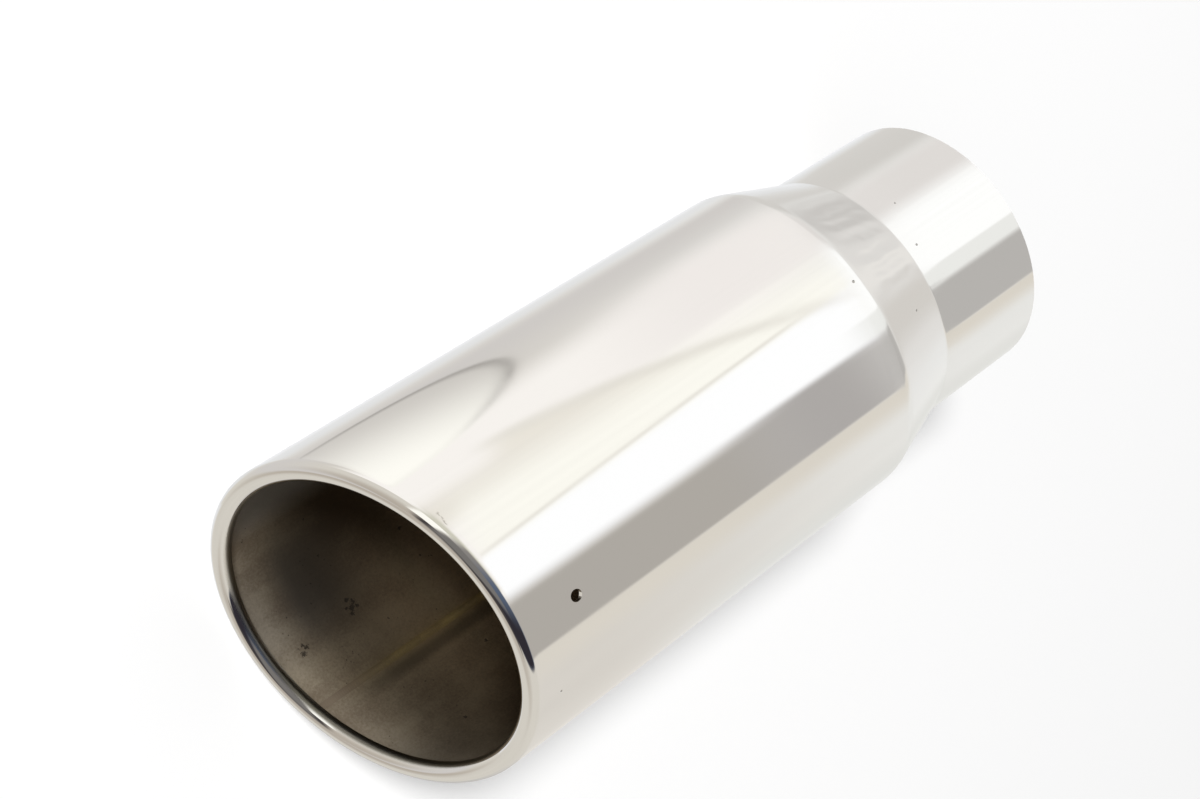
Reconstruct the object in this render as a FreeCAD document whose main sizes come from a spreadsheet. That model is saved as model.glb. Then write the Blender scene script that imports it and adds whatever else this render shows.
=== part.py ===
import FreeCAD, Part
import math
import os
import Sketcher

doc = FreeCAD.newDocument("ExhaustTip")
vec = FreeCAD.Vector

# The tip is one welded tube, swaged down to the inlet collar, cut on a slant and rolled inward at the mouth.
# The origin is the centre of the square inlet end. The axis is Y, the mouth looks along -Y and the short
# side of the slanted mouth is on top, so the tube lies on its long side.

# Driving dimensions in millimetres and degrees: alias, value, what it is
sizes = doc.addObject("Spreadsheet::Sheet", "Sizes")
rows = [
    ("body_diameter", 127.0, "outer diameter of the straight body"),
    ("wall", 1.6, "sheet thickness of the tube"),
    ("inlet_bore", 103.0, "inner diameter of the inlet collar"),
    ("body_length", 194.5, "mouth centre to the shoulder, along the axis"),
    ("cone_length", 32.5, "shoulder to neck, along the axis"),
    ("collar_length", 52.5, "neck to the square inlet end"),
    ("shoulder_bend", 14.0, "outer bend radius where the body starts to narrow"),
    ("neck_bend", 5.0, "outer bend radius where the cone meets the collar"),
    ("cut_angle", 19.5, "slant of the mouth away from square"),
    ("roll_radius", 3.7, "outer radius of the rolled lip"),
    ("roll_turn", 196.0, "turn of the roll from the mouth's own plane to its free edge"),
    ("roll_proud", 0.12, "height of the roll above the wall's outer face"),
    ("roll_gather", 0.3, "extra thickness of the sheet where it is gathered into the roll"),
    ("roll_overlap", 16.0, "extra turn at the root of the roll that lies within the wall"),
    ("wall_lap", 0.15, "end of the wall ahead of the line where the roll is widest"),
    ("hole_diameter", 4.2, "small round hole behind the lip, on the short side"),
    ("hole_setback", 42.0, "hole centre behind the mouth centre, along the axis"),
    ("seam_clock", 141.0, "turn about the axis from the short side to the inner weld"),
    ("seam_width", 3.0, "width of the inner weld bead"),
    ("seam_height", 0.35, "height of the inner weld bead above the wall"),
    ("seam_root", 0.5, "depth of the bead's foot in the wall"),
    ("seam_start", 4.0, "start of the bead behind the mouth's plane"),
    ("seam_stop", 2.0, "end of the bead short of the shoulder"),
]
for column, title in zip("ABC", ("name", "value", "meaning")):
    sizes.set(f"{column}1", title)
for line, (alias, value, meaning) in enumerate(rows, start=2):
    sizes.set(f"A{line}", alias)
    sizes.set(f"B{line}", str(value))
    sizes.set(f"C{line}", meaning)
    sizes.setAlias(f"B{line}", alias)
doc.recompute()

# Lengths that follow from the sheet, as expressions for the sketches
body_radius = "Sizes.body_diameter / 2"
inner_radius = "(Sizes.body_diameter / 2 - Sizes.wall)"
collar_radius = "(Sizes.inlet_bore / 2 + Sizes.wall)"
mouth_depth = "(Sizes.collar_length + Sizes.cone_length + Sizes.body_length)"
roll_circle = "(Sizes.body_diameter / 2 - Sizes.roll_radius + Sizes.roll_proud)"
blank_depth = f"({mouth_depth} + Sizes.body_diameter / 2 * tan(Sizes.cut_angle) + Sizes.roll_radius)"


def number(expression):
    """The present value of an expression on the size sheet."""
    value = sizes.evalExpression(expression.replace("Sizes.", ""))
    return float(value.Value) if hasattr(value, "Value") else float(value)


def new_sketch(body, name, role):
    sketch = body.newObject("Sketcher::SketchObject", name)
    plane = next(item for item in body.Origin.OriginFeatures if item.Role == role)
    sketch.AttachmentSupport = [(plane, "")]
    sketch.MapMode = "FlatFace"
    return sketch


def bind(sketch, constraint, name, expression):
    """Adds a dimension to a sketch and ties it to the size sheet."""
    index = sketch.addConstraint(constraint)
    sketch.renameConstraint(index, name)
    sketch.setExpression(f"Constraints.{name}", expression)


def place(sketch, geometry, end, name, across, up):
    """Ties both coordinates of a sketch point to the size sheet."""
    bind(sketch, Sketcher.Constraint("DistanceX", geometry, end, number(across)), f"{name}_x", across)
    bind(sketch, Sketcher.Constraint("DistanceY", geometry, end, number(up)), f"{name}_y", up)


def chain(sketch, name, corners, closed=True):
    """Straight lines through corners, each given as two expressions; the first lines of an empty sketch."""
    spots = [vec(number(across), number(up), 0) for across, up in corners]
    count = len(spots) if closed else len(spots) - 1
    for index in range(count):
        sketch.addGeometry(Part.LineSegment(spots[index], spots[(index + 1) % len(spots)]), False)
    for index in range(count if closed else count - 1):
        sketch.addConstraint(Sketcher.Constraint("Coincident", index, 2, (index + 1) % count, 1))
    for index, (across, up) in enumerate(corners):
        line, end = (index, 1) if index < count else (index - 1, 2)
        place(sketch, line, end, f"{name}{index}", across, up)


def join(sketch, pairs):
    """Makes the curves of a sketch run smoothly into each other, end to start."""
    for first, first_end, second, second_end in pairs:
        sketch.addConstraint(Sketcher.Constraint("Tangent", first, first_end, second, second_end))


tip = doc.addObject("PartDesign::Body", "TipShell")
tip.Label = "tip_shell"
tip.Placement = FreeCAD.Placement(vec(0, 0, 0), FreeCAD.Rotation())

# Section of the tube wall, turned about the Y axis. It starts ahead of the mouth's long side
cone_angle = f"atan(({body_radius} - {collar_radius}) / Sizes.cone_length)"
shoulder_centre = (f"-(Sizes.collar_length + Sizes.cone_length) - Sizes.shoulder_bend * tan({cone_angle} / 2)",
                   f"{body_radius} - Sizes.shoulder_bend")
neck_centre = (f"-Sizes.collar_length + Sizes.neck_bend * tan({cone_angle} / 2)",
               f"{collar_radius} + Sizes.neck_bend")
wall_section = new_sketch(tip, "WallSection", "YZ_Plane")
slant = number(cone_angle)
sides = (("outer", body_radius, collar_radius, "Sizes.shoulder_bend", "Sizes.neck_bend"),
         ("inner", inner_radius, "Sizes.inlet_bore / 2", "(Sizes.shoulder_bend - Sizes.wall)",
          "(Sizes.neck_bend + Sizes.wall)"))
for first, (side, wide, narrow, shoulder_radius, neck_radius) in zip((0, 5), sides):
    bends = []
    for centre, radius, turn in ((shoulder_centre, shoulder_radius, 90), (neck_centre, neck_radius, -90)):
        spot = vec(number(centre[0]), number(centre[1]), 0)
        circle = Part.Circle(spot, vec(0, 0, 1), number(radius))
        bends.append(Part.ArcOfCircle(circle, math.radians(turn - slant), math.radians(turn)))
    shoulder, neck = bends
    wide_start = vec(-number(blank_depth), number(wide), 0)
    narrow_end = vec(0, number(narrow), 0)
    wall_section.addGeometry([
        Part.LineSegment(wide_start, shoulder.EndPoint),
        shoulder,
        Part.LineSegment(shoulder.StartPoint, neck.StartPoint),
        neck,
        Part.LineSegment(neck.EndPoint, narrow_end),
    ], False)
    body_line, shoulder_arc, cone_line, neck_arc, collar_line = range(first, first + 5)
    join(wall_section, ((body_line, 2, shoulder_arc, 2), (shoulder_arc, 1, cone_line, 1),
                        (cone_line, 2, neck_arc, 1), (neck_arc, 2, collar_line, 1)))
    for arc, name, centre, radius in ((shoulder_arc, "shoulder", shoulder_centre, shoulder_radius),
                                      (neck_arc, "neck", neck_centre, neck_radius)):
        place(wall_section, arc, 3, f"{side}_{name}", *centre)
        dimension = Sketcher.Constraint("Radius", arc, number(radius))
        bind(wall_section, dimension, f"{side}_{name}_radius", radius)
    for straight in (body_line, collar_line):
        wall_section.addConstraint(Sketcher.Constraint("Horizontal", straight))
    start_x = Sketcher.Constraint("DistanceX", body_line, 1, wide_start.x)
    bind(wall_section, start_x, f"{side}_start", f"-{blank_depth}")
    wall_section.addConstraint(Sketcher.Constraint("PointOnObject", collar_line, 2, -2))
for corner in (1, 2):
    straight = 0 if corner == 1 else 4
    ends = [wall_section.getPoint(straight + shift, corner) for shift in (0, 5)]
    line = wall_section.addGeometry(Part.LineSegment(*ends), False)
    wall_section.addConstraint(Sketcher.Constraint("Coincident", line, 1, straight, corner))
    wall_section.addConstraint(Sketcher.Constraint("Coincident", line, 2, straight + 5, corner))
shell = tip.newObject("PartDesign::Revolution", "TubeWall")
shell.Profile = wall_section
shell.ReferenceAxis = (wall_section, ["H_Axis"])
shell.Angle = 360
doc.recompute()

# Weld bead inside the straight body. It is ironed flat where the tube is swaged, so that a pipe slides in
seam_depth = f"({mouth_depth} - {inner_radius} * tan(Sizes.cut_angle) * cos(Sizes.seam_clock) - Sizes.seam_start)"
bead_profile = new_sketch(tip, "SeamSection", "XZ_Plane")
bead_profile.AttachmentOffset = FreeCAD.Placement(vec(0, 0, number(seam_depth)),
                                                  FreeCAD.Rotation(vec(0, 0, -1), number("Sizes.seam_clock")))
bead_profile.setExpression("AttachmentOffset.Base.z", seam_depth)
bead_profile.setExpression("AttachmentOffset.Rotation.Angle", "Sizes.seam_clock")
half_width = "Sizes.seam_width / 2"
crown = "((Sizes.seam_width / 2) ^ 2 + Sizes.seam_height ^ 2) / (2 * Sizes.seam_height)"
left = vec(-number(half_width), number(inner_radius), 0)
right = vec(number(half_width), number(inner_radius), 0)
top = vec(0, number(f"{inner_radius} - Sizes.seam_height"), 0)
foot = vec(0, number("Sizes.seam_root"), 0)
bead_profile.addGeometry(Part.Arc(left, top, right), False)
bead_profile.addGeometry(Part.LineSegment(right, right + foot), False)
bead_profile.addGeometry(Part.LineSegment(right + foot, left + foot), False)
bead_profile.addGeometry(Part.LineSegment(left + foot, left), False)
for before in range(4):
    bead_profile.addConstraint(Sketcher.Constraint("Coincident", before, 2, (before + 1) % 4, 1))
place(bead_profile, 0, 1, "left", f"-{half_width}", inner_radius)
place(bead_profile, 0, 2, "right", half_width, inner_radius)
bind(bead_profile, Sketcher.Constraint("Radius", 0, number(crown)), "crown", crown)
bead_profile.addConstraint(Sketcher.Constraint("Vertical", 1))
bead_profile.addConstraint(Sketcher.Constraint("Horizontal", 2))
bead_profile.addConstraint(Sketcher.Constraint("Vertical", 3))
bind(bead_profile, Sketcher.Constraint("Distance", 1, foot.y), "foot", "Sizes.seam_root")
bead = tip.newObject("PartDesign::Pad", "SeamBead")
bead.Profile = bead_profile
bead.Reversed = True
bead.setExpression("Length", f"{seam_depth} - Sizes.collar_length - Sizes.cone_length - Sizes.seam_stop")
doc.recompute()

# Slanted end of the wall. The roll is widest along a line a little flatter than the mouth's plane
slope = "(tan(Sizes.cut_angle) * (Sizes.body_diameter / 2 - Sizes.roll_radius) / (Sizes.body_diameter / 2))"
clear = "(Sizes.body_diameter / 2 + Sizes.roll_radius)"
trim_profile = new_sketch(tip, "MouthTrimProfile", "YZ_Plane")
chain(trim_profile, "trim", [
    (f"-{mouth_depth} - Sizes.wall_lap - {slope} * {clear}", f"-{clear}"),
    (f"-{mouth_depth} - Sizes.wall_lap + {slope} * {clear}", clear),
    (f"-{blank_depth} - Sizes.roll_radius", clear),
    (f"-{blank_depth} - Sizes.roll_radius", f"-{clear}"),
])
trim = tip.newObject("PartDesign::Pocket", "MouthTrim")
trim.Profile = trim_profile
trim.SideType = "Symmetric"
trim.Type = "ThroughAll"
doc.recompute()

# Rolled lip: a J of sheet swept round the mouth. The slanted mouth's ellipse is drawn as a four-centre oval,
# quarter arcs that run into each other, with the top one halved on the short side where the section stands
spine = new_sketch(tip, "LipSpine", "XZ_Plane")
spine.AttachmentOffset = FreeCAD.Placement(vec(0, 0, number(mouth_depth)),
                                           FreeCAD.Rotation(vec(-1, 0, 0), number("Sizes.cut_angle")))
spine.setExpression("AttachmentOffset.Base.z", mouth_depth)
spine.setExpression("AttachmentOffset.Rotation.Angle", "Sizes.cut_angle")
long_half = f"({roll_circle} / cos(Sizes.cut_angle))"
centre_offset = f"(({long_half} - {roll_circle}) / (2 - sqrt(2)))"
side_radius = f"({roll_circle} + {centre_offset})"
end_radius = f"({long_half} - {centre_offset})"
arcs = (("short_side", 90, 135, "0", centre_offset, end_radius),
        ("left_side", 135, 225, centre_offset, "0", side_radius),
        ("long_side", 225, 315, "0", f"-{centre_offset}", end_radius),
        ("right_side", 315, 405, f"-{centre_offset}", "0", side_radius),
        ("short_half", 45, 90, "0", centre_offset, end_radius))
for name, begin, finish, across, up, radius in arcs:
    circle = Part.Circle(vec(number(across), number(up), 0), vec(0, 0, 1), number(radius))
    spine.addGeometry(Part.ArcOfCircle(circle, math.radians(begin), math.radians(finish)), False)
for index, (name, begin, finish, across, up, radius) in enumerate(arcs[:3]):
    place(spine, index, 3, name, across, up)
bind(spine, Sketcher.Constraint("Radius", 0, number(end_radius)), "end_radius", end_radius)
bind(spine, Sketcher.Constraint("DistanceX", 3, 3, -number(centre_offset)), "right_side_x", f"-{centre_offset}")
join(spine, ((0, 2, 1, 1), (1, 2, 2, 1), (2, 2, 3, 1), (3, 2, 4, 1)))
spine.addConstraint(Sketcher.Constraint("Coincident", 4, 3, 0, 3))
spine.addConstraint(Sketcher.Constraint("Coincident", 4, 2, 0, 1))
spine.addConstraint(Sketcher.Constraint("PointOnObject", 0, 1, -2))

# The roll's outside is a true arc. The hollow inside it, which nothing shows, is drawn with short flats
section = new_sketch(tip, "LipSection", "YZ_Plane")
hollow_flats = 5
root_turn = "(90 - 2 * Sizes.cut_angle - Sizes.roll_overlap)"
edge_turn = "(90 - Sizes.cut_angle + Sizes.roll_turn)"
roll_inner = "(Sizes.roll_radius - Sizes.wall - Sizes.roll_gather)"
roll_place = (f"-{mouth_depth} + {roll_circle} * tan(Sizes.cut_angle)", roll_circle)


def roll_spot(radius, turn):
    """A point of the roll's section: radius and turn about the roll's own centre."""
    across = f"{roll_place[0]} + {radius} * cos({turn})"
    up = f"{roll_place[1]} + {radius} * sin({turn})"
    return across, up


hollow = [roll_spot(roll_inner, f"({root_turn} + ({edge_turn} - {root_turn}) * {step} / {hollow_flats})")
          for step in range(hollow_flats + 1)]
chain(section, "hollow", [roll_spot("Sizes.roll_radius", root_turn)] + hollow, closed=False)
centre = vec(number(roll_place[0]), number(roll_place[1]), 0)
start, stop = (math.radians(number(turn)) for turn in (root_turn, edge_turn))
roll = Part.ArcOfCircle(Part.Circle(centre, vec(0, 0, 1), number("Sizes.roll_radius")), start, stop)
arc = section.addGeometry(roll, False)
edge = section.addGeometry(Part.LineSegment(section.getPoint(hollow_flats, 2), section.getPoint(arc, 2)), False)
section.addConstraint(Sketcher.Constraint("Coincident", arc, 1, 0, 1))
section.addConstraint(Sketcher.Constraint("Coincident", edge, 1, hollow_flats, 2))
section.addConstraint(Sketcher.Constraint("Coincident", edge, 2, arc, 2))
place(section, arc, 3, "centre", *roll_place)
section.addConstraint(Sketcher.Constraint("PointOnObject", arc, 3, edge))
lip = tip.newObject("PartDesign::AdditivePipe", "RolledLip")
lip.Profile = section
lip.Spine = (spine, [])
lip.Mode = "Frenet"
doc.recompute()

# Small round hole through the wall on the short side
hole_profile = new_sketch(tip, "HoleProfile", "XY_Plane")
hole_depth = f"({mouth_depth} - Sizes.hole_setback)"
hole_centre = vec(0, -number(hole_depth), 0)
hole_profile.addGeometry(Part.Circle(hole_centre, vec(0, 0, 1), number("Sizes.hole_diameter") / 2), False)
hole_profile.addConstraint(Sketcher.Constraint("PointOnObject", 0, 3, -2))
bind(hole_profile, Sketcher.Constraint("DistanceY", 0, 3, hole_centre.y), "centre_y", f"-{hole_depth}")
bind(hole_profile, Sketcher.Constraint("Diameter", 0, number("Sizes.hole_diameter")), "bore", "Sizes.hole_diameter")
hole = tip.newObject("PartDesign::Pocket", "LipHole")
hole.Profile = hole_profile
hole.Reversed = True
hole.Type = "Length"
hole.setExpression("Length", "Sizes.body_diameter")
doc.recompute()

# Each feature has to be sound before the part is written
for item in doc.Objects:
    if "Invalid" in item.State or "Error" in item.State:
        raise RuntimeError(f"{item.Name} failed: {item.State}")
if tip.Shape.isNull() or not tip.Shape.isValid() or len(tip.Shape.Solids) != 1:
    raise RuntimeError("the tip is not one sound solid")
for before, after in ((shell, bead), (bead, trim), (trim, lip), (lip, hole)):
    print(f"{after.Name}: volume {before.Shape.Volume:.0f} -> {after.Shape.Volume:.0f} mm3")

os.makedirs("parts", exist_ok=True)
tip.Shape.exportStep(f"parts/{tip.Label}.step")
box = tip.Shape.BoundBox
print(f"box {box.XLength:.1f} x {box.YLength:.1f} x {box.ZLength:.1f} mm, faces {len(tip.Shape.Faces)}")
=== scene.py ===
import bpy
import bmesh
import math
import random
from mathutils import Matrix, Vector


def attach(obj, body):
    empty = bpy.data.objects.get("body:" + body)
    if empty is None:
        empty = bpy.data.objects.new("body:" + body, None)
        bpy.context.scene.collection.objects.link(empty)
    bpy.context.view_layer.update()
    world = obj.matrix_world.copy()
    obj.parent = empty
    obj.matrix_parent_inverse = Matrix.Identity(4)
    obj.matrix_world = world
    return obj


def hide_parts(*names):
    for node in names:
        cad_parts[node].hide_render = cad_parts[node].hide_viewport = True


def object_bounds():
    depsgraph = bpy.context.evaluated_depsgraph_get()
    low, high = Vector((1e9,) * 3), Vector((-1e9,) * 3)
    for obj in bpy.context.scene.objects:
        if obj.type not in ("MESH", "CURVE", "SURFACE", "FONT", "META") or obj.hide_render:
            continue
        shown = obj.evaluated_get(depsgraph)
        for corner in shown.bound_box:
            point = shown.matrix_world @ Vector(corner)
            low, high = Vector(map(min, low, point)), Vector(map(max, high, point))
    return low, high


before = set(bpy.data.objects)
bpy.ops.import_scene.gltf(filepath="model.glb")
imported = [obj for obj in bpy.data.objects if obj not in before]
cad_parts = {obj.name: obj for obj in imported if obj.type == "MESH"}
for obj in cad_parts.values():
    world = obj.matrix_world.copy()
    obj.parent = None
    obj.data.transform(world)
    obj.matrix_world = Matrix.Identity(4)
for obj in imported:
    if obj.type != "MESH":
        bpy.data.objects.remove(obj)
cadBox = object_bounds()
random.seed(7)
print("frame loaded")


class Wire:  # a shader socket that can be added, multiplied and so on
    def __init__(self, tree, socket=None):
        self.tree = tree
        self.socket = socket

    def node(self, kind, settings=None, sockets=None, output=0):
        made = self.tree.nodes.new(kind)
        for name, value in (settings or {}).items():
            if name == "stops":  # colour ramp: (place, colour), in order
                elements = made.color_ramp.elements
                elements[0].position, elements[0].color = value[0]
                elements[-1].position, elements[-1].color = value[-1]
                for place, colour in value[1:-1]:
                    elements.new(place).color = colour
            else:
                setattr(made, name, value)
        for name, value in (sockets or {}).items():
            if isinstance(value, Wire):
                self.tree.links.new(value.socket, made.inputs[name])
            else:
                made.inputs[name].default_value = value
        return Wire(self.tree, made.outputs[output] if made.outputs else None)

    def maths(self, operation, *values):
        return self.node("ShaderNodeMath", {"operation": operation}, dict(enumerate(values)))

    def __add__(self, other):
        return self.maths("ADD", self, other)

    def __radd__(self, other):
        return self.maths("ADD", other, self)

    def __sub__(self, other):
        return self.maths("SUBTRACT", self, other)

    def __rsub__(self, other):
        return self.maths("SUBTRACT", other, self)

    def __mul__(self, other):
        return self.maths("MULTIPLY", self, other)

    def __rmul__(self, other):
        return self.maths("MULTIPLY", other, self)

    def __truediv__(self, other):
        return self.maths("DIVIDE", self, other)

    def __rtruediv__(self, other):
        return self.maths("DIVIDE", other, self)

    def __pow__(self, other):
        return self.maths("POWER", self, other)

    def __rpow__(self, other):
        return self.maths("POWER", other, self)

    def rise(self, low, high, bottom=0.0, top=1.0):  # smooth step from low to high
        return self.node("ShaderNodeMapRange", {"interpolation_type": "SMOOTHSTEP"},
                         {"Value": self, "From Min": low, "From Max": high, "To Min": bottom, "To Max": top})

    def near(self, spot, reach):  # 1 at spot, fading to 0 at reach to either side
        return self.maths("ABSOLUTE", self - spot).rise(0.0, reach, 1.0, 0.0)

    def between(self, low, high, soft):  # 1 from low to high, with soft ends
        return self.rise(low - soft, low + soft) * self.rise(high - soft, high + soft, 1.0, 0.0)

    def mix(self, share, first, second, how="MIX"):  # colours
        return self.node("ShaderNodeMix", {"data_type": "RGBA", "blend_type": how},
                         {0: share, 6: first, 7: second}, 2)  # the colour sockets

    def blend(self, other, share):  # from this colour to the other
        return self.mix(share, self, other)

    def paint(self, colour):  # for a colour node
        self.socket.default_value = colour
        return self

    def noise(self, vector, scale, detail=2.0, roughness=0.5):
        return self.node("ShaderNodeTexNoise", None,
                         {"Vector": vector, "Scale": scale, "Detail": detail, "Roughness": roughness})


def vectorOf(wire, x, y, z):
    return wire.node("ShaderNodeCombineXYZ", None, {0: x, 1: y, 2: z})


def axesOf(wire, vector):
    split = wire.node("ShaderNodeSeparateXYZ", None, {0: vector}).socket.node
    return [Wire(wire.tree, socket) for socket in split.outputs]


def objectPlace(wire):
    return wire.node("ShaderNodeTexCoord", output="Object")


def clockAngle(wire, x, z):  # degrees about the tube, from straight up towards +X
    return wire.maths("ARCTAN2", x, z) * (180 / math.pi)


def skinPlace(wire, x, y, z, radius, spread=0.06):  # pattern coordinates that follow the round sheet
    return vectorOf(wire, x / radius * spread, y, z / radius * spread)


def newMaterial(name):
    material = bpy.data.materials.new(name)
    material.use_nodes = True
    material.node_tree.nodes.clear()
    return material, Wire(material.node_tree)


def finishMaterial(wire, surface):
    wire.node("ShaderNodeOutputMaterial", None, {"Surface": surface})


def placeInScene(name, data):
    thing = bpy.data.objects.new(name, data)
    bpy.context.scene.collection.objects.link(thing)
    return thing


def meshPiece(name, bm):
    mesh = bpy.data.meshes.new(name)
    bm.to_mesh(mesh)
    bm.free()
    return placeInScene(name, mesh)


tip = {
    "bodyRadius": 0.0635,
    "wall": 0.0016,
    "collarRadius": 0.0531,
    "mouthDepth": 0.2795,        # middle of the slanted mouth, from the inlet end
    "shoulderDepth": 0.085,
    "neckDepth": 0.0525,
    "shoulderBend": 0.014,
    "neckBend": 0.005,
    "cutAngle": 19.5,
    "rollRadius": 0.0037,
    "rollTurn": 196.0,
    "rimBevel": 0.00025,
    "slantFrom": 0.100,          # rows of the body lean with the mouth from here on
    "holeRadius": 0.0021,
    "holeDepth": 0.2375,
    "holePatch": 2.1,            # half-width of the faces taken out for the hole, in hole radii
    "holeRows": 0.010,           # close rows reach this far to either side of the hole
    "crease": 38,                # faces that meet at more than this many degrees show an edge
}

# Rows of the mesh along each stretch of the wall, and steps round the tube and the roll
tipSteps = {"collar": 8, "neck": 6, "cone": 6, "shoulder": 8, "body": 24, "hole": 29, "mouth": 14,
            "roll": 28, "hollow": 14, "turns": 288}


def arcPoints(centre, radius, begin, end, count):
    points = []
    for step in range(count + 1):
        angle = math.radians(begin + (end - begin) * step / count)
        points.append((centre[0] + radius * math.cos(angle), centre[1] + radius * math.sin(angle)))
    return points


def linePoints(start, end, count):
    return [(start[0] + (end[0] - start[0]) * step / count, start[1] + (end[1] - start[1]) * step / count)
            for step in range(count + 1)]


def wallPoints(offset):  # (depth, radius) from the inlet end to the mouth, that far inside the outer face
    body, collar = tip["bodyRadius"], tip["collarRadius"]
    fall = math.atan((body - collar) / (tip["shoulderDepth"] - tip["neckDepth"]))
    half = math.tan(fall / 2)
    slope = math.degrees(fall)
    neck = (tip["neckDepth"] - tip["neckBend"] * half, collar + tip["neckBend"])
    shoulder = (tip["shoulderDepth"] + tip["shoulderBend"] * half, body - tip["shoulderBend"])
    points = linePoints((tip["rimBevel"], collar - offset), (neck[0], collar - offset), tipSteps["collar"])
    points += arcPoints(neck, tip["neckBend"] + offset, -90, -90 + slope, tipSteps["neck"])[1:]
    bend = arcPoints(shoulder, tip["shoulderBend"] - offset, 90 + slope, 90, tipSteps["shoulder"])
    points += linePoints(points[-1], bend[0], tipSteps["cone"])[1:]
    points += bend[1:]
    depth = points[-1][0]
    stops = ((tip["holeDepth"] - tip["holeRows"], tipSteps["body"]),
             (tip["holeDepth"] + tip["holeRows"], tipSteps["hole"]), (tip["mouthDepth"], tipSteps["mouth"]))
    for stop, count in stops:
        points += linePoints((depth, body - offset), (stop, body - offset), count)[1:]
        depth = stop
    return points


def buildTip():
    bm = bmesh.new()
    turnLayer = bm.verts.layers.float.new("rollTurn")
    rollLayer = bm.verts.layers.float.new("rollRadius")
    insideLayer = bm.verts.layers.int.new("inside")
    profile = []

    def put(depth, radius, inside, turn=-1.0, roll=0.0):  # a turn below 0 marks the wall
        vert = bm.verts.new((0.0, -depth, radius))
        vert[turnLayer], vert[rollLayer], vert[insideLayer] = turn, roll, inside
        profile.append(vert)

    def putRoll(step, steps, roll, inside):
        turn = tip["rollTurn"] * step / steps
        angle = math.radians(turn)
        put(tip["mouthDepth"] + roll * math.sin(angle),
            tip["bodyRadius"] - tip["rollRadius"] + roll * math.cos(angle), inside, turn, roll)

    for depth, radius in wallPoints(0.0)[:-1]:
        put(depth, radius, 0)
    for step in range(tipSteps["roll"] + 1):  # outside of the roll
        putRoll(step, tipSteps["roll"], tip["rollRadius"], 0)
    for step in range(tipSteps["hollow"], -1, -1):  # and the hollow inside it
        putRoll(step, tipSteps["hollow"], tip["rollRadius"] - tip["wall"], 1)
    for depth, radius in reversed(wallPoints(tip["wall"])[:-1]):
        put(depth, radius, 1)
    collar, bevel = tip["collarRadius"], tip["rimBevel"]
    for radius in (collar - tip["wall"] + bevel, collar - bevel):
        put(0.0, radius, 0)
    edges = [bm.edges.new((first, second)) for first, second in zip(profile, profile[1:] + profile[:1])]
    bmesh.ops.spin(bm, geom=profile + edges, cent=(0, 0, 0), axis=(0, 1, 0), dvec=(0, 0, 0),
                   angle=math.tau, steps=tipSteps["turns"], use_merge=True)
    bmesh.ops.recalc_face_normals(bm, faces=bm.faces)
    slantMouth(bm, turnLayer, rollLayer)
    for face in bm.faces:
        face.smooth = True
        face.material_index = 1 if min(vert[insideLayer] for vert in face.verts) else 0
    drillHole(bm)
    skin = meshPiece("tipSkin", bm)
    skin.data.set_sharp_from_angle(angle=math.radians(tip["crease"]))
    return skin


# Slides the rows along the wall and carries the roll round the slanted edge
def slantMouth(bm, turnLayer, rollLayer):
    lean = math.tan(math.radians(tip["cutAngle"]))
    rollCentre = tip["bodyRadius"] - tip["rollRadius"]
    for vert in bm.verts:
        clock = math.atan2(vert.co.x, vert.co.z)
        back = lean * rollCentre * math.cos(clock)
        if vert[turnLayer] < 0:
            share = (-vert.co.y - tip["slantFrom"]) / (tip["mouthDepth"] - tip["slantFrom"])
            vert.co.y += back * max(share, 0.0)
            continue
        outward = Vector((math.sin(clock), 0, math.cos(clock)))
        along = Vector((math.cos(clock), -lean * math.sin(clock), -math.sin(clock))).normalized()
        forward = along.cross(outward)
        turn = vert[turnLayer] * (1 - tip["cutAngle"] * math.cos(clock) / tip["rollTurn"])
        angle = math.radians(turn)
        centre = outward * rollCentre + Vector((0, -tip["mouthDepth"] + back, 0))
        vert.co = centre + vert[rollLayer] * (outward * math.cos(angle) + forward * math.sin(angle))


def drillHole(bm):  # through the short side, which is on top
    loops = []
    reach = tip["holeRadius"] * tip["holePatch"]
    for offset in (0.0, tip["wall"]):
        radius = tip["bodyRadius"] - offset
        patch = []
        for face in bm.faces:
            middle = face.calc_center_median()
            distance = math.hypot(middle.x, middle.z)
            if (middle.z > 0 and abs(middle.x) < reach and abs(middle.y + tip["holeDepth"]) < reach
                    and abs(distance - radius) < tip["wall"] / 4):
                patch.append(face)
        faces = set(patch)
        rim = [edge for face in patch for edge in face.edges
               if any(other not in faces for other in edge.link_faces)]
        bmesh.ops.delete(bm, geom=patch, context="FACES")
        spot = Matrix.Translation((0, -tip["holeDepth"], radius))
        circle = bmesh.ops.create_circle(bm, cap_ends=False, radius=tip["holeRadius"], segments=len(rim),
                                         matrix=spot)
        for vert in circle["verts"]:
            vert.co.z = math.sqrt(radius ** 2 - vert.co.x ** 2)
        ring = list(dict.fromkeys(edge for vert in circle["verts"] for edge in vert.link_edges))
        made = bmesh.ops.bridge_loops(bm, edges=rim + ring)
        for face in made["faces"]:
            face.smooth = True
            face.material_index = 1 if offset else 0
        loops += ring
    made = bmesh.ops.bridge_loops(bm, edges=loops)
    for face in made["faces"]:
        face.smooth = True
    bmesh.ops.recalc_face_normals(bm, faces=bm.faces)


tipSkin = buildTip()
print("tip skin:", len(tipSkin.data.vertices), "vertices")


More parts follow.
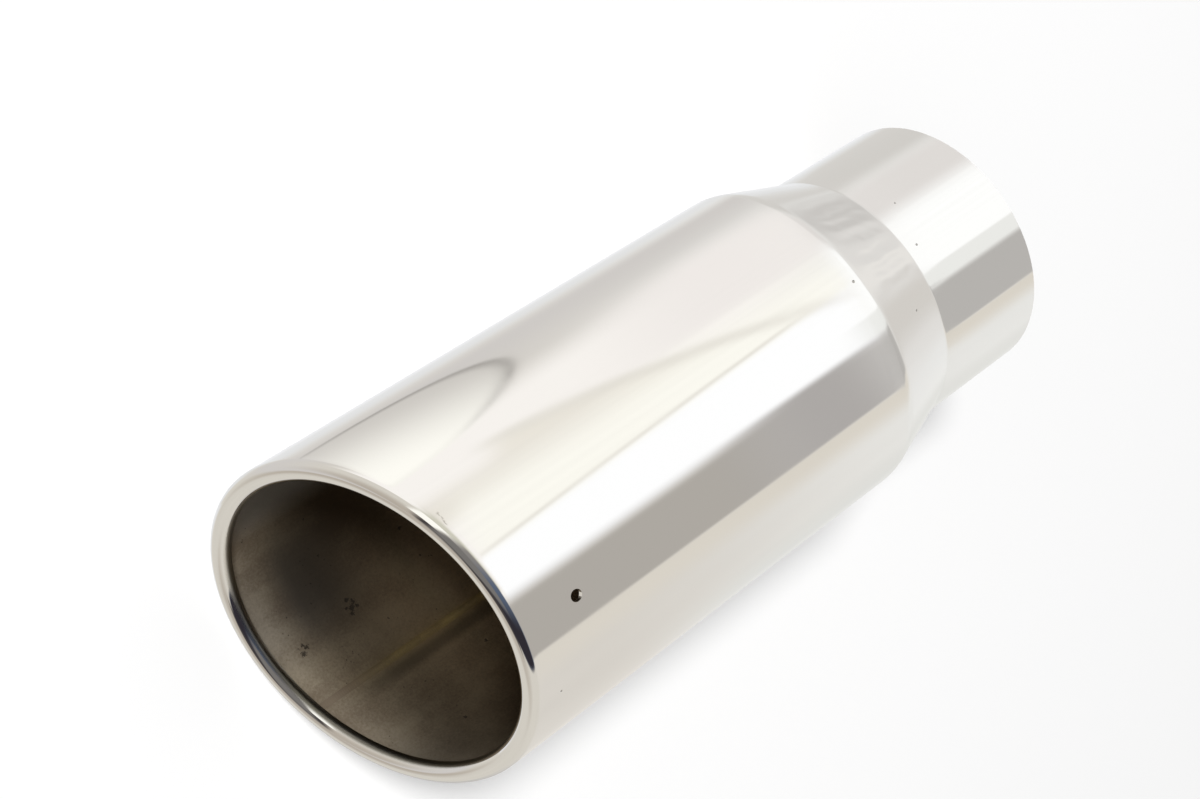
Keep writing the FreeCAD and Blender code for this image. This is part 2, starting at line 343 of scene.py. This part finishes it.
# Weld bead along the inside of the tube
seam = {
    "clock": 141.0,           # from the short side, towards the right
    "width": 0.0030,
    "height": 0.00035,
    "root": 0.0006,           # how far its foot is sunk into the wall
    "start": 0.0905,
    "mouthGap": 0.004,        # where it stops short of the mouth
    "ripple": 0.0009,         # spacing of the weld's ripples
    "rippleHeight": 0.00003,
    "uneven": 0.00001,
    "ground": 0.030,          # length that is ground down towards the mouth
    "groundAway": 0.75,       # share of the height that is gone at the end
    "crease": 60,
    "bright": (0.72, 0.60, 0.30, 1.0),
    "brown": (0.46, 0.38, 0.22, 1.0),
}


def buildSeam():
    bm = bmesh.new()
    radius = tip["bodyRadius"] - tip["wall"]
    lean = math.tan(math.radians(tip["cutAngle"]))
    clock = math.radians(seam["clock"])
    end = tip["mouthDepth"] - lean * radius * math.cos(clock) - seam["mouthGap"]
    length = end - seam["start"]
    half = seam["width"] / 2
    verts = []
    for across in (-1, -0.85, -0.6, -0.3, 0, 0.3, 0.6, 0.85, 1):  # crown
        verts.append(bm.verts.new((across * half, -seam["start"], radius - seam["height"] * (1 - across ** 2))))
    for across in (1, -1):  # foot
        verts.append(bm.verts.new((across * half, -seam["start"], radius + seam["root"])))
    face = bm.faces.new(verts)
    steps = int(length / seam["ripple"] * 2)
    for step in range(steps):
        made = bmesh.ops.extrude_face_region(bm, geom=[face])["geom"]
        face = next(item for item in made if isinstance(item, bmesh.types.BMFace))
        bmesh.ops.translate(bm, verts=face.verts, vec=(0, -length / steps, 0))
    for vert in bm.verts:  # ripples on the crown, which is ground down towards the mouth
        crown = max(0.0, radius - vert.co.z) / seam["height"]
        left = (end + vert.co.y) / seam["ground"]
        vert.co.z += crown * seam["height"] * seam["groundAway"] * max(0.0, 1 - left)
        row = round((-vert.co.y - seam["start"]) / length * steps)
        jitter = random.uniform(-seam["uneven"], seam["uneven"])
        vert.co.z += min(1.0, left) * crown * (seam["rippleHeight"] * (-1) ** row + jitter)
    bmesh.ops.recalc_face_normals(bm, faces=bm.faces)
    for item in bm.faces:
        item.smooth = True
    bmesh.ops.rotate(bm, verts=bm.verts, cent=(0, 0, 0), matrix=Matrix.Rotation(clock, 3, "Y"))
    bead = meshPiece("seamBead", bm)
    bead.data.set_sharp_from_angle(angle=math.radians(seam["crease"]))
    return bead


seamBead = buildSeam()
print("weld bead:", len(seamBead.data.vertices), "vertices")


# Finish outside and on the lip. Pits and stains are given by clock angle in degrees, and by depth from the
# inlet end and radius in metres
polish = {
    "steel": (0.80, 0.79, 0.775, 1.0),
    "roughness": 0.05,
    "wave": 0.000010,                     # height of the slow waves left by polishing
    "swage": 0.00006,                     # and of the ones left where the tube was necked down
    "swaged": (0.046, 0.088),             # depths between which they lie
    "ridges": {"clock": (-62, -22), "depth": (0.056, 0.078), "turns": 0.82, "wander": 5.0, "height": 1.9},
    "scuff": {"clock": (-41.0, -36.8), "depth": 0.2609, "width": 0.00055, "wander": 0.0012},
    "pits": [(-30.0, 0.0882, 0.00055), (-29.2, 0.0472, 0.00045), (-9.3, 0.0660, 0.00050),
             (-48.3, 0.0412, 0.00035), (26.1, 0.2520, 0.00045)],
    "pitDepth": 0.0002,
    "pitTone": (0.25, 0.23, 0.20, 1.0),
    "reach": (142, 160),                  # turn of the roll from which its inner side gets painted shade
    "shadedRollRoughness": 0.25,
    "paintedShade": (0.22, 0.21, 0.185, 1.0),   # painted shade there, darker on the right and lighter on the left
    "paintedShadeLeft": (0.60, 0.585, 0.54, 1.0),
}


def skinRadius(depth):  # of the outer face, with the bends left out
    body, collar = tip["bodyRadius"], tip["collarRadius"]
    if depth > tip["shoulderDepth"]:
        return body
    along = max(0.0, depth - tip["neckDepth"]) / (tip["shoulderDepth"] - tip["neckDepth"])
    return collar + (body - collar) * along


def spotMask(wire, x, y, z, spots, inset=0.0, fringe=0.0):  # 1 inside each spot, with a broken edge
    total = 0.0
    for clock, depth, reach in spots:
        turn = math.radians(clock)
        radius = skinRadius(depth) - inset
        dx = x - radius * math.sin(turn)
        dy = y + depth
        dz = z - radius * math.cos(turn)
        away = (dx * dx + dy * dy + dz * dz) ** 0.5 * (1 / reach) + fringe
        total = wire.maths("MAXIMUM", total, away.rise(0.55, 1.15, 1.0, 0.0))
    return total


def polishedSteel():
    material, wire = newMaterial("polishedSteel")
    x, y, z = axesOf(wire, objectPlace(wire))
    radius = (x * x + z * z) ** 0.5
    clock = clockAngle(wire, x, z)
    skin = skinPlace(wire, x, y, z, radius)
    long = skinPlace(wire, x, y * 0.12, z, radius)
    brushed = skinPlace(wire, x, y, z, radius, 0.010)
    waves = wire.noise(skin, 24.0, 1.0) + wire.noise(long, 80.0, 2.0) * 0.5  # broad waves and long ones
    swaged = y.between(-polish["swaged"][1], -polish["swaged"][0], 0.006)
    ridges = polish["ridges"]
    marked = clock.between(*ridges["clock"], 7) * y.between(-ridges["depth"][1], -ridges["depth"][0], 0.004)
    ridge = wire.maths("SINE", clock * ridges["turns"] + wire.noise(skin, 60.0, 2.0) * ridges["wander"])
    swage = wire.noise(long, 260.0, 1.0, 0.4) * swaged + ridge * marked * ridges["height"]
    pit = spotMask(wire, x, y, z, polish["pits"])
    scuff = polish["scuff"]
    stroke = (y + wire.noise(skin, 300.0) * scuff["wander"]).near(-scuff["depth"], scuff["width"])
    scratch = clock.between(*scuff["clock"], 0.5) * stroke * wire.noise(skin, 1400.0).rise(0.42, 0.58)
    height = waves * polish["wave"] + swage * polish["swage"] - pit * polish["pitDepth"]
    bump = wire.node("ShaderNodeBump", None, {"Strength": 1.0, "Distance": 1.0, "Height": height})
    grain = wire.noise(brushed, 3000.0, 2.0, 0.7)  # fine lines round the tube
    smear = wire.noise(skin, 40.0, 4.0, 0.6)
    roughness = (smear.rise(0.35, 0.75, 0.8, 1.5) + grain * 0.3 + swaged * 1.2) * polish["roughness"]
    worn = wire.maths("MAXIMUM", pit * 0.7, scratch * 0.6)
    steel = wire.mix(worn, polish["steel"], polish["pitTone"])
    turned = wire.node("ShaderNodeAttribute", {"attribute_name": "rollTurn"}, output="Fac")
    rollShade = (turned + grain * 4).rise(*polish["reach"])  # painted shade on the inner side of the roll, which is also made rougher
    rollShadeTone = wire.mix((x / radius).rise(-0.5, 0.6), polish["paintedShadeLeft"], polish["paintedShade"])
    shader = wire.node("ShaderNodeBsdfPrincipled", None, {
        "Base Color": steel.blend(rollShadeTone, rollShade), "Metallic": 1.0,
        "Roughness": roughness + rollShade * polish["shadedRollRoughness"], "Normal": bump})
    finishMaterial(wire, shader)
    return material


# Finish inside, with what the exhaust has left on it, and painted shade and painted light
dull = {
    "bare": (0.66, 0.57, 0.44, 1.0),
    # soot for the stains; also painted shade on the weld bead near the mouth
    "sootAndShade": (0.38, 0.305, 0.23, 1.0),
    "grey": (0.24, 0.22, 0.20, 1.0),
    "tint": (0.62, 0.50, 0.24, 1.0),    # heat tint along the weld
    "paintedLight": (0.54, 0.53, 0.51, 1.0),    # painted light on the left
    "paintedLightClock": (-148, -60),
    "dark": (0.018, 0.015, 0.013, 1.0),
    "roughness": 0.42,
    "metal": 0.75,
    "reach": 0.070,                     # how far in from the mouth the bands below go
    "stains": [(161.2, 0.2642, 0.0010), (162.8, 0.2632, 0.0012), (164.6, 0.2617, 0.0010),
               (162.4, 0.2612, 0.0009), (166.0, 0.2634, 0.0009), (163.6, 0.2650, 0.0007),
               (158.8, 0.2870, 0.0011), (160.2, 0.2848, 0.0009), (161.4, 0.2858, 0.0007),
               (176.9, 0.2325, 0.0008), (126.9, 0.2297, 0.0008), (106.9, 0.2566, 0.0008)],
}

# Painted shade: how much of the steel's tone is left, by the share of that reach
depthShadeBands = [
    (0.00, (0.86, 0.86, 0.86, 1.0)), (0.11, (0.85, 0.85, 0.84, 1.0)), (0.23, (0.54, 0.52, 0.48, 1.0)),
    (0.34, (0.36, 0.34, 0.30, 1.0)), (0.46, (0.29, 0.265, 0.225, 1.0)), (0.57, (0.28, 0.25, 0.205, 1.0)),
    (0.69, (0.32, 0.28, 0.225, 1.0)), (0.80, (0.38, 0.33, 0.26, 1.0)), (0.91, (0.47, 0.42, 0.33, 1.0)),
    (1.00, (0.60, 0.53, 0.43, 1.0)),
]


def depthBehindMouth(y, z):
    return y - z * math.tan(math.radians(tip["cutAngle"])) + tip["mouthDepth"]


# painted shade by depth behind the mouth, inside the tube and on the weld bead
def paintedShade(wire, colour, depth):
    band = wire.node("ShaderNodeValToRGB", {"stops": depthShadeBands}, {0: depth * (1 / dull["reach"])})
    return wire.mix(1.0, colour, band, "MULTIPLY")


def dullSteel():
    material, wire = newMaterial("dullSteel")
    x, y, z = axesOf(wire, objectPlace(wire))
    radius = (x * x + z * z) ** 0.5
    clock = clockAngle(wire, x, z)
    under = wire.maths("ABSOLUTE", clock)  # the same on both sides
    depth = depthBehindMouth(y, z)
    skin = skinPlace(wire, x, y, z, radius)
    long = skinPlace(wire, x, y * 0.06, z, radius)
    cloud = wire.noise(skin, 22.0, 5.0, 0.6)  # broad patches of film
    streaks = wire.noise(long, 120.0, 3.0, 0.6)  # along the gas's way
    fine = wire.noise(skin, 1100.0, 3.0, 0.7)
    stain = (cloud * 0.75 + streaks * 0.25 + (fine - 0.5) * 0.35).rise(0.34, 0.66)
    fringe = (wire.noise(skin, 1500.0, 2.0, 0.7) - 0.5) * 3.0
    marks = spotMask(wire, x, y, z, dull["stains"], tip["wall"], fringe)
    speck = wire.noise(skin, 700.0, 1.0).rise(0.70, 0.76) * wire.noise(skin, 60.0, 2.0).rise(0.5, 0.6)
    glow, core = clock.near(seam["clock"] - 1.0, 9.0) * 0.3, clock.near(seam["clock"], 3.6) * 0.7
    heat = wire.maths("MAXIMUM", glow, core) * depth.rise(0.008, 0.042)
    cool = under.rise(150, 174) * depth.rise(0.012, 0.024) * depth.rise(0.030, 0.055, 0.8, 0.2)
    # painted light on the left side of the inside
    paintedLight = clock.between(*dull["paintedLightClock"], 8) * 0.6
    beside = clock.between(seam["clock"] - 7.0, seam["clock"] - 2.6, 1.6) * 0.5 * depth.rise(0.010, 0.038)
    behind = under.rise(98, 124, 0.45, 0.0) * depth.rise(0.012, 0.035, 1.0, 0.0)
    shade = wire.maths("MAXIMUM", beside, behind)  # painted shade beside the weld, and deep in at the sides
    # stains and specks, and the painted shade, all go towards the dark tone
    dark = wire.maths("MAXIMUM", wire.maths("MAXIMUM", marks * 0.75, speck * 0.6), shade)
    colour = wire.mix(stain, dull["bare"], dull["sootAndShade"])
    colour = wire.mix(cool, colour, dull["grey"])
    colour = paintedShade(wire, wire.mix(heat, colour, dull["tint"]), depth)
    colour = wire.mix(paintedLight, colour, dull["paintedLight"])
    colour = wire.mix(dark, colour, dull["dark"])
    grit = wire.noise(skin, 900.0, 3.0, 0.6) * 0.000012 - marks * 0.00006
    bump = wire.node("ShaderNodeBump", None, {"Strength": 1.0, "Distance": 1.0, "Height": grit})
    roughness = dull["roughness"] + (streaks - 0.5) * 0.2 + marks * 0.2
    shader = wire.node("ShaderNodeBsdfPrincipled", None, {
        "Base Color": colour, "Metallic": dull["metal"], "Roughness": roughness, "Normal": bump})
    finishMaterial(wire, shader)
    return material


def seamSteel():
    material, wire = newMaterial("seamSteel")
    place = objectPlace(wire)
    y, z = axesOf(wire, place)[1:]
    depth = depthBehindMouth(y, z)
    patch = wire.noise(place, 70.0, 4.0, 0.65).rise(0.35, 0.7)
    colour = wire.mix(patch, seam["bright"], seam["brown"])
    # painted shade: the bead takes the dark soot tone near the mouth, so its yellow shows deeper in as a
    # painted highlight
    colour = wire.mix(depth.rise(0.012, 0.045), dull["sootAndShade"], colour)
    shader = wire.node("ShaderNodeBsdfPrincipled", None, {
        "Base Color": paintedShade(wire, colour, depth), "Metallic": 0.7, "Roughness": 0.5})
    finishMaterial(wire, shader)
    return material


for material in (polishedSteel(), dullSteel()):
    tipSkin.data.materials.append(material)
seamBead.data.materials.append(seamSteel())
for piece in (tipSkin, seamBead):
    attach(piece, "root")
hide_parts("tip_shell")
print("finishes made")


# Room round the tip, as the steel shows it. Tones are 0 to 255
studio = {
    "ambient": 0.34,
    "nearTone": (212, 207, 199),     # room beside the tip, towards the mouth and towards the inlet
    "farTone": (230, 229, 225),
    "backTone": (219, 216, 212),     # what the cone faces
    "frontTone": (209, 204, 194),    # what the lip faces, level and straight on
    "aheadTone": (178, 169, 157),
    "lineTone": (224, 220, 211),     # creases at the edges of sheets
    "leanFrom": 0.385,               # leaning edges lean from here on towards the inlet
    "streak": 0.10,
    # unevenness of the sheets: angles between which it lies, their softness, scales by angle and reach
    "patches": [(-80, -25, 8, 0.30, 2.0), (55, 175, 10, 0.03, 5.0)],
}

# Cards and soft boxes along the tip. Angles are about the tube, from straight up towards +X; "low" and
# "high" give how far a card reaches towards the inlet, from 0 square across to 1 straight back; "line"
# gives a crease by its angle from the edge, its width and its reach
panels = [
    {"name": "floor sheen", "from": 153, "to": 184, "soft": (6, 9),
     "low": -0.5, "high": 2, "tone": (223, 223, 223)},
    {"name": "floor sheen, left", "from": -200, "to": -163, "soft": (6, 10),
     "low": -0.3, "high": 2, "tone": (219, 219, 218)},
    {"name": "dim side", "from": -158, "to": -126, "soft": (9, 26),
     "low": -2, "high": 0.61, "tone": (204, 200, 196)},
    {"name": "dim collar side", "from": -168, "to": -112, "soft": (9, 12),
     "low": 0.61, "high": 0.8, "tone": (207, 204, 199)},
    {"name": "collar sheet", "from": -108, "to": -60, "soft": (10, 10),
     "low": 0.61, "high": 0.8, "tone": (222, 218, 214)},
    {"name": "pale sheet", "from": -107, "to": 10, "soft": (13, 1),
     "low": -0.12, "high": 0.60, "fade": 0.05, "tone": (247, 243, 238)},
    {"name": "pale sheet, far part", "from": -118, "to": -64, "soft": (14, 6),
     "low": 0.50, "high": 0.61, "fade": 0.05, "tone": (239, 234, 230)},
    {"name": "low side", "from": 104, "to": 152, "soft": (20, 6),
     "low": 0.44, "high": 0.74, "fade": 0.05, "tone": (215, 214, 209)},
    {"name": "cream sheet", "from": -81, "to": 0, "soft": (3, 2),
     "low": 0.40, "high": 0.61, "lean": 94, "bow": 625, "line": (1.5, 6, 0.40, 0.60), "tone": (233, 228, 217)},
    {"name": "near sheet", "from": -66, "to": -48, "soft": (8, 6),
     "low": 0.28, "high": 0.47, "fade": 0.03, "tone": (230, 225, 215)},
    {"name": "sheet's end", "from": -56, "to": 0, "soft": (16, 2),
     "low": 0.36, "high": 0.61, "tone": (251, 249, 240)},
    {"name": "lip sheet", "from": -60, "to": 0, "soft": (8, 2),
     "low": -0.12, "high": 0.31, "tone": (204, 201, 186)},
    {"name": "lip strip", "from": -57, "to": -38, "soft": (3, 3),
     "low": -0.75, "high": -0.12, "tone": (254, 252, 244)},
    {"name": "soft box", "from": -23, "to": 8, "soft": (3, 3),
     "low": 0.33, "high": 0.61, "lean": -50, "line": (-2.0, 2.2, 0.36, 0.58), "tone": (255, 255, 255)},
    {"name": "collar soft box", "from": -66, "to": -10, "soft": (12, 1.5),
     "low": 0.61, "high": 0.8, "tone": (255, 255, 253)},
    {"name": "box's rim", "from": -10, "to": 4, "soft": (1.5, 1.5),
     "low": 0.60, "high": 0.8, "tone": (234, 234, 230)},
    {"name": "grey card", "from": 7, "to": 47, "soft": (6, 1.5),
     "low": -2, "high": 0.56, "fade": 0.06, "tone": (173, 168, 161)},
    {"name": "grey card, far part", "from": 5, "to": 47, "soft": (3, 1.5),
     "low": 0.52, "high": 0.61, "fade": 0.04, "tone": (172, 168, 165)},
    {"name": "collar's grey card", "from": 5, "to": 47, "soft": (3, 1.5),
     "low": 0.61, "high": 0.8, "tone": (181, 178, 174)},
    {"name": "card's edge", "from": 47, "to": 62, "soft": (1.5, 10),
     "low": 0.3, "high": 0.8, "fade": 0.1, "tone": (216, 210, 199)},
    {"name": "lip's low side", "from": 120, "to": 154, "soft": (14, 8),
     "low": -0.32, "high": 0.24, "fade": 0.09, "tone": (184, 181, 177)},
    {"name": "front, low", "from": 98, "to": 172, "soft": (14, 14),
     "low": -0.88, "high": -0.38, "fade": 0.08, "tone": (207, 202, 192)},
    {"name": "doorway's frame", "from": -32, "to": 49, "soft": (7, 3),
     "low": -0.80, "high": 0.20, "fade": 0.09, "tone": (134, 130, 126)},
    {"name": "doorway's side", "from": -12, "to": 49, "soft": (12, 3),
     "low": -0.72, "high": 0.22, "fade": 0.07, "tone": (86, 97, 116)},
    {"name": "doorway's foot", "from": -50, "to": 60, "soft": (8, 9),
     "low": -0.985, "high": -0.76, "fade": 0.03, "tone": (66, 62, 62)},
    {"name": "doorway", "from": 14, "to": 49, "soft": (14, 3),
     "low": -0.82, "high": 0.18, "fade": 0.05, "tone": (47, 44, 50)},
    {"name": "doorway's step", "from": -36, "to": 16, "soft": (5, 7),
     "low": -0.95, "high": -0.40, "fade": 0.05, "tone": (116, 113, 110)},
    {"name": "dim back", "from": -165, "to": -100, "soft": (15, 25),
     "low": 0.82, "high": 2, "fade": 0.08, "tone": (198, 195, 191)},
    {"name": "pale back, left", "from": -52, "to": -18, "soft": (12, 12),
     "low": 0.82, "high": 2, "fade": 0.08, "tone": (230, 227, 222)},
    {"name": "grey back", "from": 0, "to": 50, "soft": (20, 15),
     "low": 0.82, "high": 2, "fade": 0.08, "tone": (208, 204, 198)},
    {"name": "pale back", "from": 85, "to": 184, "soft": (20, 9),
     "low": 0.82, "high": 2, "fade": 0.08, "tone": (233, 233, 231)},
]

# Round card over the mouth, seen as a tongue on the short side's left
tongue = {
    "angle": -120, "halfAngle": 34, "depth": 0.325, "halfDepth": 0.111,
    "dark": (203, 199, 193), "bright": (254, 252, 244), "rim": (160, 156, 151),
}


def lampTone(tone):  # brightness that the steel shows as this tone
    steel = polish["steel"]
    linear = [channel / 12.92 if channel < 0.04 else ((channel + 0.055) / 1.055) ** 2.4
              for channel in (value / 255 for value in tone)]
    return tuple(value / steel[axis] for axis, value in enumerate(linear)) + (1.0,)


def lightWorld():
    world = bpy.data.worlds.new("studio")
    bpy.context.scene.world = world
    world.use_nodes = True
    world.node_tree.nodes.clear()
    wire = Wire(world.node_tree)
    x, y, z = axesOf(wire, wire.node("ShaderNodeTexCoord"))
    angle = clockAngle(wire, x, z)

    def card(tone):
        return wire.node("ShaderNodeRGB").paint(lampTone(tone))

    room = card(studio["nearTone"]).blend(card(studio["farTone"]), y.rise(0.36, 0.66))
    front = card(studio["frontTone"]).blend(card(studio["aheadTone"]), y.rise(-0.98, -0.45, 1.0, 0.0))
    room = front.blend(room, y.rise(0.1, 0.36))
    room = room.blend(card(studio["backTone"]), y.rise(0.74, 0.95, 0.0, 0.9))
    past = wire.maths("MAXIMUM", y - studio["leanFrom"], -0.05)
    crease = 0.0
    for panel in panels:
        leaned = angle
        if "lean" in panel:
            leaned = angle - past * panel["lean"] - past * past * panel.get("bow", 0)
        before, after = panel["soft"]
        mask = leaned.rise(panel["from"] - before, panel["from"] + before)
        mask = mask * angle.rise(panel["to"] - after, panel["to"] + after, 1.0, 0.0)
        mask = mask * y.between(panel["low"], panel["high"], panel.get("fade", 0.012))
        room = room.blend(card(panel["tone"]), mask)
        if "line" in panel:
            shift, width, low, high = panel["line"]
            line = leaned.near(panel["from"] + shift, width) * y.between(low, high, 0.02)
            crease = wire.maths("MAXIMUM", crease, line * 0.75)
    room = room.blend(card(studio["lineTone"]), crease)
    room = room.blend(*tongueCard(wire, card, angle, y))
    uneven = 0.0
    for low, high, soft, byAngle, byReach in studio["patches"]:
        cloud = wire.noise(vectorOf(wire, angle * byAngle, y * byReach, 0.0), 1.0, 3.0, 0.6)
        uneven = (cloud - 0.5) * angle.between(low, high, soft) + uneven
    room = wire.node("ShaderNodeVectorMath", {"operation": "SCALE"},
                     {0: room, "Scale": 1 + uneven * studio["streak"]})
    seen, glossy, through = (wire.node("ShaderNodeLightPath", output=ray)
                             for ray in ("Is Camera Ray", "Is Glossy Ray", "Is Transmission Ray"))
    plain = studio["ambient"]
    soft, cards, white = (wire.node("ShaderNodeBackground", None, {"Color": colour, "Strength": 1.0})
                          for colour in ((plain, plain, plain, 1.0), room, (1.0, 1.0, 1.0, 1.0)))
    mirrored = wire.maths("MAXIMUM", glossy, through)
    light = wire.node("ShaderNodeMixShader", None, {0: mirrored, 1: soft, 2: cards})
    light = wire.node("ShaderNodeMixShader", None, {0: seen, 1: light, 2: white})
    wire.node("ShaderNodeOutputWorld", None, {"Surface": light})


def tongueCard(wire, card, angle, y):  # its colour and where it shows
    across = (angle - tongue["angle"]) / tongue["halfAngle"]
    down = (y - tongue["depth"]) / tongue["halfDepth"]
    reach = (across * across + down * down) ** 0.5
    sheet = card(tongue["dark"]).blend(card(tongue["bright"]), (across - down * 0.55).rise(-1.05, 0.70))
    rim = reach.rise(0.87, 0.985) * (across * 0.6 - down).rise(-0.85, 0.05, 1.0, 0.10)
    rim = wire.maths("MAXIMUM", rim, reach.near(0.985, 0.05) * across.rise(-0.4, 0.2, 0.75, 0.0))
    return sheet.blend(card(tongue["rim"]), rim), reach.rise(0.985, 1.01, 1.0, 0.0) * y.rise(0.24, 0.33)


floorSheet = {
    "tone": (0.80, 0.80, 0.80, 1.0),
    "glow": 0.175,            # lift that only the camera sees
    "size": 12.0,
    "middle": -0.14,
    "whiteFrom": (0.9, 2.4),  # the paper fades into the white room between these distances
}


def buildFloor():
    bm = bmesh.new()
    bmesh.ops.create_grid(bm, x_segments=1, y_segments=1, size=floorSheet["size"])
    bmesh.ops.translate(bm, verts=bm.verts, vec=(0, floorSheet["middle"], cadBox[0].z))
    floor = meshPiece("floor", bm)
    material, wire = newMaterial("floorPaper")
    paper = wire.node("ShaderNodeBsdfDiffuse", None, {"Color": floorSheet["tone"]})
    glow, white = (wire.node("ShaderNodeEmission", None, {"Color": (1, 1, 1, 1), "Strength": strength})
                   for strength in (floorSheet["glow"], 1.0))
    lit = wire.node("ShaderNodeAddShader", None, {0: paper, 1: glow})
    away = wire.node("ShaderNodeVectorMath", {"operation": "LENGTH"}, {0: objectPlace(wire)}, "Value")
    lit = wire.node("ShaderNodeMixShader", None, {0: away.rise(*floorSheet["whiteFrom"]), 1: lit, 2: white})
    seen = wire.node("ShaderNodeLightPath", output="Is Camera Ray")
    finishMaterial(wire, wire.node("ShaderNodeMixShader", None, {0: seen, 1: paper, 2: lit}))
    floor.data.materials.append(material)
    floor.visible_glossy = False  # the steel shows the room's own floor tones instead


key = {
    "spot": (-2.42, -1.38, 3.75),
    "aim": (0.0, -0.15, 0.0),
    "size": 1.0,
    "power": 191.0,
}


def addKey():
    lamp = bpy.data.lights.new("keyLight", "AREA")
    lamp.shape = "DISK"
    lamp.size = key["size"]
    lamp.energy = key["power"]
    light = placeInScene("keyLight", lamp)
    light.location = key["spot"]
    light.rotation_euler = (Vector(key["aim"]) - Vector(key["spot"])).to_track_quat("-Z", "Y").to_euler()
    light.visible_glossy = False


view = {
    "spot": (-0.22055, -0.42944, 0.45644),
    "ahead": (0.35184, 0.46527, -0.81224),
    "up": (-0.86995, 0.48283, -0.10026),
    "lens": 47.79,
    "sensor": 36.0,
    "clip": 0.01,
}


def addCamera():
    data = bpy.data.cameras.new("photoView")
    data.sensor_width = view["sensor"]
    data.lens = view["lens"]
    data.clip_start = view["clip"]
    camera = placeInScene("photoView", data)
    back = -Vector(view["ahead"]).normalized()
    right = Vector(view["up"]).cross(back).normalized()
    turn = Matrix((right, back.cross(right), back)).transposed()
    camera.matrix_world = Matrix.Translation(view["spot"]) @ turn.to_4x4()
    bpy.context.scene.camera = camera


lightWorld()
buildFloor()
addKey()
addCamera()
bpy.context.scene.view_settings.view_transform = "Standard"
print("studio ready")
